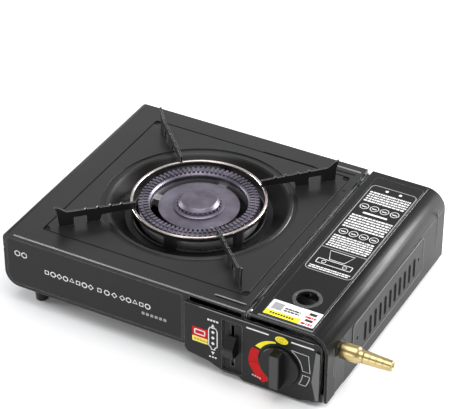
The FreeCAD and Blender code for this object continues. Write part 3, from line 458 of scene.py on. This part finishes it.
def make_panel_print(inks):
    level = PANEL_FACE
    x0, x1, split, low, high = 204.8, 220.8, 36.6, 30.4, 47.0
    printed("badge_red", [rect(x0, split, x1, high, 1.0)], "front", level,
            "stove", inks["red"])
    printed("badge_yellow", [rect(x0, low, x1, split - 0.2, 1.0)], "front", level,
            "stove", inks["pale_yellow"])
    frame_line = band(rect(207.5, 39.4, 217.8, 44.4, 0.5), 1.1)
    rows = [rect(206.6 + n * 3, 32.4, 208.9 + n * 3, 34.2) for n in range(5)]
    printed("badge_lines", frame_line, "front", level - PRINT, "stove", inks["white"])
    printed("badge_dashes", rows, "front", level - PRINT, "stove", inks["amber"])

    x0, x1, low, high = 221.8, 230.6, 27.0, 51.7
    middle = (x0 + x1) / 2
    bottle = [(middle - 2, low), (middle + 2, low), (middle + 2, low + 2.2), (x1, low + 4), (x1, high - 3),
              (x1 - 1.4, high), (x0 + 1.4, high), (x0, high - 3), (x0, low + 4), (middle - 2, low + 2.2)]
    shapes = band(bottle, 1.0)
    shapes += [polygon(middle, 34 + 6.4 * n, 1.9, 4) for n in range(3)]
    shapes += [[(middle - 1.8, 52.8), (middle + 1.8, 52.8), (middle, 56.2)]]
    shapes += [[(middle - 1.8, 24.4), (middle, 21), (middle + 1.8, 24.4)]]
    shapes += [rect(middle - 5.6 + 3 * n, 59, middle - 3.4 + 3 * n, 61, 0.4) for n in range(4)]
    shapes += [rect(middle - 4 + 2.9 * n, 17.4, middle - 2 + 2.9 * n, 18.9, 0.4) for n in range(3)]
    printed("bottle_sign", shapes, "front", level, "stove", inks["white"])


def swept(x, z, inner, outer):
    """A closed shape between two lists of (angle in degrees, radius) round the dial."""
    points = list(inner) + list(reversed(outer))
    return [(x + r * math.cos(math.radians(a)), z + r * math.sin(math.radians(a))) for a, r in points]


def spread(start, end, first, last, count=10):
    """(angle, radius) pairs that change evenly from one end to the other."""
    return [(start + (end - start) * n / count, first + (last - first) * n / count)
            for n in range(count + 1)]


def make_dial_print(inks):
    x, z = DIAL
    level = PANEL_FACE
    upper = swept(x, z, spread(157, 192, 21.6, 21.6), spread(160, 193, 29.6, 32.4))
    lower = swept(x, z, spread(193.5, 246, 21.6, 22.5), spread(194.5, 238, 32.6, 31.5))
    printed("dial_red", [upper, lower], "front", level, "stove", inks["red"])
    yellow = swept(x, z, spread(150, 101, 22.6, 23.2), spread(153, 101, 28.0, 24.8))
    printed("dial_yellow", [yellow], "front", level, "stove", inks["yellow"])
    off_x, off_z, thin, line = x + 1.2, z + 28.4, 0.5, 0.7
    printed("dial_off", [ellipse(off_x, off_z, 6.4, 3.9)], "front", level,
            "stove", inks["yellow"])
    off_sign = band(ellipse(off_x, off_z, 4.6, 2.5, 20), thin)
    off_sign += band(ellipse(off_x, off_z, 1.9, 1.3, 14), thin)
    printed("dial_off_sign", off_sign, "front", level - PRINT, "stove", inks["amber"])
    arc = swept(x, z, spread(64, 5, 23.4, 22.4), [])
    wide = arc + [(x + 30, z + 1.8), (x + 28, z + 20.6)]
    small = swept(x, z, spread(-7, -37, 22.6, 23.6), spread(-5, -29, 29.8, 29.4))
    printed("dial_frames", band(wide, line) + band(small, line), "front", level,
            "stove", inks["silver"])
    pitch, drop = 2.4, 0.5
    dots = [rect(x - 28 + n * pitch, z - 22.4 - n * drop, x - 26.2 + n * pitch, z - 20.6 - n * drop, 0.5)
            for n in range(4)]
    printed("dial_dots", dots, "front", level - PRINT, "stove", inks["pink"])
    low, high = 65.3, 66.6
    bars = [rect(260.6, low, 283, high, 0.5), rect(305.2, low, 327.8, high, 0.5)]
    printed("dial_bars", bars, "front", level - 0.5, "stove", inks["white"])


def make_lid_print(inks):
    level = LID_TOP
    left, right = 273, 320
    text_left, text_right = 275.5, 318
    outline = band(rect(left, 84, right, 234, 5), 0.8)
    outline += [rect(left, 120.6, right, 121.4)]
    rows = text_rows(text_left, 123.5, text_right, 144, 6, 11)
    rows += text_rows(text_left, 158, text_right, 182, 6, 12)
    rows += text_rows(text_left, 205, text_right, 224, 5, 13)
    rows += [rect(284, 186, 309, 188.4), polygon(290, 229, 1.7, 8), polygon(304, 229, 1.7, 8)]
    rows += text_rows(276, 86, 317, 91.5, 2, 14)
    signs = []
    first, pitch, radius, half = 281, 10.5, 4.2, 2.4
    for n in range(4):
        x = first + pitch * n
        for y in (151, 197):
            signs += band(ellipse(x, y, radius, radius, 20), 0.6)
            signs += [rect(x - half, y - 1.0, x + half, y + 0.2)]
    pot = [(284, 118), (309, 118), (304, 105), (289, 105)]
    stove = rect(279, 96, 314, 103, 1)
    knobs = [ellipse(286, 99.5, 2, 2, 14), ellipse(307, 99.5, 2, 2, 14)]
    signs += band(pot, 0.7) + band(stove, 0.7) + band(knobs[0], 0.5) + band(knobs[1], 0.5)
    printed("label_frame", outline, "top", level, "lid", inks["grey"])
    printed("label_rows", rows, "top", level, "lid", inks["white"])
    printed("label_signs", signs, "top", level, "lid", inks["white"])

    x0, x1, y0, y1 = 271.8, 321, 6.2, 28.4
    printed("sticker", [rect(x0, y0, x1, y1, 0.8)], "top", level, "lid", inks["paper"])
    level += PRINT
    split = x0 + (x1 - x0) * 0.68
    printed("sticker_yellow", [rect(x0, y0, split + 1, y0 + 6.9)], "top", level,
            "lid", inks["yellow"])
    dashes = [rect(x0 + 5 + 2.7 * n, y0 + 2.4, x0 + 6.9 + 2.7 * n, y0 + 4.6) for n in range(9)]
    dashes += text_rows(x0 + 15, y0 + 9.5, split - 3, y0 + 16, 2, 21)
    dashes += [rect(split + 4.5, y0 + 15.6, x1 - 4, y0 + 19), rect(split + 4.5, y0 + 6.4, x1 - 4, y0 + 9.4)]
    printed("sticker_dark", dashes, "top", level + PRINT, "lid", inks["dark"])
    printed("sticker_square", [rect(x0 + 3, y0 + 9, x0 + 13, y0 + 19)], "top", level,
            "lid", inks["grey"])
    reds = text_rows(split + 2, y0 + 10.6, x1 - 1.5, y0 + 13.8, 1, 22, 0.2)
    reds += text_rows(split + 2, y0 + 1.2, x1 - 1.5, y0 + 4.4, 1, 23, 0.2)
    printed("sticker_red", reds, "top", level, "lid", inks["red"])


# ---- Small real parts, and pieces of painted highlight and painted shade ---------------------

def ring_of_blocks(name, count, inner, outer, low, high, share, body, material):
    """Blocks standing in a ring round the burner's axis, each wedge-shaped."""
    def make(work):
        for n in range(count):
            middle = 2 * math.pi * n / count
            half = math.pi / count * share
            corners = [(r, middle + side * half) for r, side in
                       ((inner, -1), (outer, -1), (outer, 1), (inner, 1))]
            rows = [[work.verts.new(at(BURNER[0] + r * math.cos(a), BURNER[1] + r * math.sin(a), z))
                     for r, a in corners] for z in (low, high)]
            work.faces.new(rows[0])
            work.faces.new(rows[1])
            for i in range(4):
                j = (i + 1) % 4
                work.faces.new((rows[0][i], rows[0][j], rows[1][j], rows[1][i]))

    return new_piece(name, make, body, material)


def lathe(name, profile, centre, axis, body, material, steps=48):
    """A turned piece. The profile is (radius, distance along the axis), in millimetres."""
    def make(work):
        rings = []
        for radius, along in profile:
            ring = []
            for n in range(steps):
                a = 2 * math.pi * n / steps
                u, v = radius * math.cos(a), radius * math.sin(a)
                spot = {"x": (along, u, v), "y": (u, along, v), "z": (u, v, along)}[axis]
                ring.append(work.verts.new(at(*(c + s for c, s in zip(centre, spot)))))
            rings.append(ring)
        for first, second in zip(rings, rings[1:] + rings[:1]):
            for n in range(steps):
                m = (n + 1) % steps
                work.faces.new((first[n], first[m], second[m], second[n]))

    piece = new_piece(name, make, body, material)
    for face in piece.data.polygons:
        face.use_smooth = True
    piece.data.set_sharp_from_angle(angle=math.radians(35))
    return piece


def make_burner_details(materials):
    steel = materials["burner_steel"]
    ring_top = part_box("burner_ring")[1].z / MM
    cap_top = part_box("burner_cap")[1].z / MM
    ring_of_blocks("flame_ports", 72, 48.5, 53.5, ring_top - 0.4, ring_top + 1.4, 0.55,
                   "stove", steel)
    ring_of_blocks("outer_ports", 72, 54.5, 57.6, ring_top - 1.6, ring_top + 0.6, 0.55,
                   "stove", steel)
    ring_of_blocks("cap_ports", 28, 19.4, 21.4, cap_top - 7.5, cap_top - 4.6, 0.5,
                   "stove", steel)
    lathe("cap_skirt", [(20.0, 77.0), (24.5, 77.0), (24.5, 78.6), (23.2, 79.4), (20.0, 79.4)],
          (BURNER[0], BURNER[1], 0), "z", "stove", steel)


def rounded_strip(name, outline, width, height, level, body, material):
    """A pressed rib on a level face that follows a closed or open line of points."""
    def make(work):
        for side in outline:
            rows = []
            for grow, lift in ((1.0, -0.05), (0.8, 0.6), (0.35, 1.0)):
                ring = []
                for x, y in rib(side, width * grow):
                    ring.append(work.verts.new(at(x, y, level + height * lift)))
                rows.append(ring)
            for first, second in zip(rows, rows[1:]):
                for n in range(len(first)):
                    m = (n + 1) % len(first)
                    work.faces.new((first[n], first[m], second[m], second[n]))
            work.faces.new(rows[-1])

    return new_piece(name, make, body, material)


def rib(side, width):
    """The corners round a straight rib between two points, with rounded ends."""
    (x0, y0), (x1, y1) = side
    along = math.atan2(y1 - y0, x1 - x0)
    points = []
    for x, y, turn in ((x1, y1, along - math.pi / 2), (x0, y0, along + math.pi / 2)):
        points += [(x + width / 2 * math.cos(turn + math.pi * n / 8),
                    y + width / 2 * math.sin(turn + math.pi * n / 8)) for n in range(9)]
    return points


def make_pressings(materials):
    """Ribs that stiffen the top plate and the lid, in lighter grey paint as painted highlights along their
    crests.
    """
    crest_light = materials["highlight_crest"]
    plate = [((222.5, 9.2), (252.5, 9.2)), ((222.5, DEPTH - 9.2), (252.5, DEPTH - 9.2))]
    rounded_strip("plate_ribs", plate, 2.4, 0.8, 80, "stove", crest_light)
    x0, x1, y0, y1 = 269.6, 322.4, 2.6, DEPTH - 3.4
    field = [((x0, y0), (x1, y0)), ((x1, y0), (x1, y1)), ((x1, y1), (x0, y1)), ((x0, y1), (x0, y0))]
    rounded_strip("lid_rib", field[1:2], 0.7, 0.4, 80, "lid", materials["rib_highlight_paint"])
    rounded_strip("lid_front_rib", field[:1], 1.8, 0.6, 80, "lid", crest_light)


def rod(name, start, end, radius, body, material, steps=10):
    """A thin round bead between two points, with tapered ends. In lighter paint it stands for a painted
    highlight along an edge or a line.
    """
    def make(work):
        first, last = at(*start), at(*end)
        along = (last - first).normalized()
        side = along.orthogonal().normalized()
        other = along.cross(side)
        rings = []
        for share, spot in ((0.3, first), (1, first + along * radius * MM),
                            (1, last - along * radius * MM), (0.3, last)):
            reach = radius * share * MM
            angles = [2 * math.pi * n / steps for n in range(steps)]
            rings.append([work.verts.new(spot + (side * math.cos(a) + other * math.sin(a)) * reach)
                          for a in angles])
        for one, two in zip(rings, rings[1:]):
            for n in range(steps):
                m = (n + 1) % steps
                work.faces.new((one[n], one[m], two[m], two[n]))
        work.faces.new(rings[0])
        work.faces.new(rings[-1])

    piece = new_piece(name, make, body, material)
    for face in piece.data.polygons:
        face.use_smooth = True
    return piece


def make_edges(materials):
    """Painted highlights and shade on the case, the panel and the lid's front: lighter grey beads along the
    edges and the seam, a lighter flat piece over the panel's facet where it bends, and a black sheet behind
    the gap above the panel.
    """
    edge_light, crest_light = materials["highlight_edge"], materials["highlight_crest"]
    panel_top = PANEL_HIGH.z / MM - 0.3
    panel_right = (PANEL_HIGH.x - CASE_LOW.x) / MM
    corner = 7
    plate_edge, seam_edge, lid_edge = TOP - 0.55, TOP - 0.9, TOP - 1.2
    # Painted highlights: lighter grey beads along the front edges of the plate, the lid and the panel, and
    # a short one for a glint at the seam.
    rod("plate_front_highlight", (12, 0.5, plate_edge), (257.5, 0.5, plate_edge), 0.6,
        "stove", edge_light)
    rod("seam_glint", (262.6, 0.3, seam_edge), (263.8, 0.3, seam_edge), 0.7, "lid", edge_light)
    rod("lid_front_highlight", (264, 0.4, lid_edge), (326, 0.4, lid_edge), 0.45, "lid", crest_light)
    rod("panel_top_highlight", (212, PANEL_FACE, panel_top), (panel_right - corner, PANEL_FACE, panel_top), 0.45,
        "stove", crest_light)
    # Painted highlight: a lighter grey bead along the short seam on the top plate.
    rod("seam_line", (256.2, 10, TOP), (256.2, 40, TOP), 0.3, "stove",
        materials["rib_highlight_paint"])
    # Painted highlight: a lighter flat piece over the panel's facet where it bends, for the light that it
    # catches.
    facet_outline = [(329.4, 63), (325.9, 28), (330.2, 8), (panel_right - 1, 9), (panel_right - 0.6, 62)]
    printed("panel_bend_highlight", [facet_outline], "front", PANEL_FACE - 0.05, "stove",
            materials["facet_highlight"])
    # Painted shade: a black sheet behind the gap between the top plate and the panel.
    printed("seam_shade", [rect(209.5, 67.8, 262.2, 78.4)], "front", 6, "stove",
            INKS["black"])


def make_lid_details(materials):
    """On the lid: press lines, a frame round the vents and the finger hole's ring in lighter paint, as
    painted highlights; black borders round the vent slots and a black sheet behind them, as painted shade.
    """
    crest_light = materials["highlight_crest"]
    front_line, rear_line = 11.4, DEPTH - 17
    # Painted highlights: the press lines and the vents' frame are painted lighter grey.
    rod("lid_side_line_front", (LID_SIDE, front_line, 29.5), (LID_SIDE, front_line, 60.5), 0.35,
        "lid", crest_light)
    rod("lid_side_line_rear", (LID_SIDE, rear_line, 26.5), (LID_SIDE, rear_line, 70.5), 0.35,
        "lid", crest_light)
    face, inside = LID_SIDE + 0.5, LID_SIDE - 2.5
    printed("vent_frame", band(rect(50.5, 20.5, 205.5, 59.5, 4), 0.5), "side", face,
            "lid", crest_light, 0.25)
    # Painted shade: black borders round the vent slots and a black sheet behind them, so that the slots
    # look dark.
    first, pitch, half, low, high = 77.1, 10.8, 1.8, 25.7, 46.3
    shade_rims = []
    for n in range(11):
        y = first + pitch * n
        shade_rims += band(rect(y - half, low, y + half, high, 1.6), 0.6)
    printed("vent_shade_rims", shade_rims, "side", face, "lid", INKS["black"], 0.3)
    printed("vent_shade_backing", [rect(70, 24, 190, 48, 1)], "side", inside, "lid",
            INKS["black"])
    # Painted highlight: the finger hole's ring is painted lighter grey.
    ring = [(10.5, TOP + 0.9), (11.0, TOP + 1.6), (12.6, TOP + 1.7), (13.6, TOP + 1.2), (13.9, TOP + 0.4)]
    lathe("finger_rim", ring, FINGER_HOLE, "z", "lid", materials["rib_highlight_paint"])


def make_pan_shades():
    """Painted shade: black in the gap round the pan, a black line on the plate beside the gap, and black
    discs on the ledge where the notches at the pan's corners look dark.
    """
    low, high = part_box("drip_pan")
    half_width, half_depth = (high.x - low.x) / 2 / MM - 1, (high.y - low.y) / 2 / MM - 1
    ledge = TOP - 0.79

    def around(margin, radius=0.0):
        return rect(BURNER[0] - half_width - margin, BURNER[1] - half_depth - margin,
                    BURNER[0] + half_width + margin, BURNER[1] + half_depth + margin, radius)

    # Painted shade in and beside the gap, and in the corner notches.
    printed("gap_shade", band(around(1.5), 1.6), "top", ledge, "stove", INKS["black"], 0.05)
    printed("gap_lip_shade", band(around(2.1, 3), 0.6), "top", TOP, "stove", INKS["black"], 0.04)
    hole_shades = [ellipse(BURNER[0] + side * half_width, BURNER[1] + end * half_depth, 4.7, 4.7, 24)
             for side in (-1, 1) for end in (-1, 1)]
    printed("corner_hole_shades", hole_shades, "top", ledge, "stove", INKS["black"], 0.05)


def make_knob_details(materials):
    x, z = DIAL
    half_width, half_height = 4.2, 18.4
    front = (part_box("knob")[0].y - CASE_LOW.y) / MM - 0.02
    # Painted highlight: a lighter strip on the front of the knob's bar, for the streak of light along it.
    bar = rect(x - half_width, z - half_height, x + half_width, z + half_height, 1.5)
    printed("knob_bar_highlight", [bar], "front", front, "knob", materials["knob_bar"])
    seat = [(20.6, PANEL_FACE), (22.2, PANEL_FACE), (22.0, PANEL_FACE - 0.5), (20.8, PANEL_FACE - 0.5)]
    lathe("knob_seat", seat, (x, 0, z), "y", "stove", materials["black_plastic"])


def soften(materials):
    """Rounds the sharp edges of the CAD nodes a little, so that they catch the light."""
    widths = {"knob": 0.7, "lock_lever": 0.8, "control_panel": 0.5, "lid_shell": 0.35, "top_plate": 0.35,
              "base_shell": 0.3, "drip_pan": 0.3}
    slots = {s["node"]: s["material_slot"] for s in frame["record"]["subparts"]}
    # The lid gets the darker paint that is painted shade, and the pan the paint with painted shade in its
    # dish.
    slots.update(drip_pan="pan_paint", top_plate="black_flat", lid_shell="shaded_lid_paint",
                 lever_guides="black_flat")
    for name, node in frame["nodes"].items():
        node.data.materials.clear()
        node.data.materials.append(materials[slots[name]])
        weld = node.modifiers.new("weld", "WELD")
        weld.merge_threshold = 0.00001
        bevel = node.modifiers.new("bevel", "BEVEL")
        bevel.width = widths.get(name, 0.25) * MM
        bevel.segments = 2
        bevel.limit_method = "ANGLE"
        bevel.angle_limit = math.radians(40)
        bevel.harden_normals = True


make_camera()
make_studio()
MATERIALS = make_materials()
INKS = {
    "white": ink("ink_white", (0.75, 0.75, 0.75)),
    "grey": ink("ink_grey", (0.32, 0.32, 0.33)),
    "silver": ink("ink_silver", (0.5, 0.5, 0.5)),
    "dark": ink("ink_dark", (0.03, 0.03, 0.03)),
    # Black for painted shade only: gaps, vent slots, the sheet behind the panel's gap and the pan's corner
    # notches.
    "black": ink("painted_shade_black", (0.002, 0.002, 0.002)),
    "red": ink("ink_red", (0.52, 0.002, 0.003)),
    "pink": ink("ink_pink", (0.75, 0.35, 0.35)),
    "yellow": ink("ink_yellow", (0.86, 0.74, 0.03)),
    "pale_yellow": ink("ink_pale_yellow", (0.85, 0.72, 0.16)),
    "amber": ink("ink_amber", (0.5, 0.38, 0.02)),
    "paper": ink("paper", (0.86, 0.86, 0.86), 0.4),
}
soften(MATERIALS)
make_front_print(INKS)
make_panel_print(INKS)
make_dial_print(INKS)
make_lid_print(INKS)
make_burner_details(MATERIALS)
make_knob_details(MATERIALS)
make_pressings(MATERIALS)
make_edges(MATERIALS)
make_lid_details(MATERIALS)
make_pan_shades()
